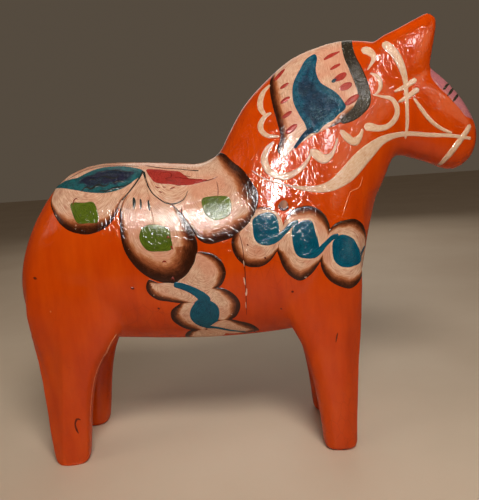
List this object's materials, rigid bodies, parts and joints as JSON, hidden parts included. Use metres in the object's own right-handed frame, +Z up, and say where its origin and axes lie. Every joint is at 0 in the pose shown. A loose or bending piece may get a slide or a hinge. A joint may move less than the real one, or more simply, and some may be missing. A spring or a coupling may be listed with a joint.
{
  "type": "painted wooden horse figure",
  "caption": "Standing carved wooden horse with short legs, upright ears and painted saddle, mane and bridle, glued up from boards in layers.",
  "frame": {"origin": "on the surface it stands on, under the middle of its length and width", "axes": "+X towards the nose, +Y towards the horse's left side, +Z up"},
  "size_m": [0.372, 0.097, 0.335],
  "materials": {
    "orange_paint": "gloss paint under varnish",
    "bare_pine": "matte"
  },
  "bodies": {
    "root": {"core_front_board": "orange_paint", "core_rear_board": "orange_paint", "right_front_board": "orange_paint", "right_rear_board": "orange_paint", "left_front_board": "orange_paint", "left_rear_board": "orange_paint", "shoulder_peg": "bare_pine", "haunch_peg": "bare_pine"}
  },
  "joints": []
}
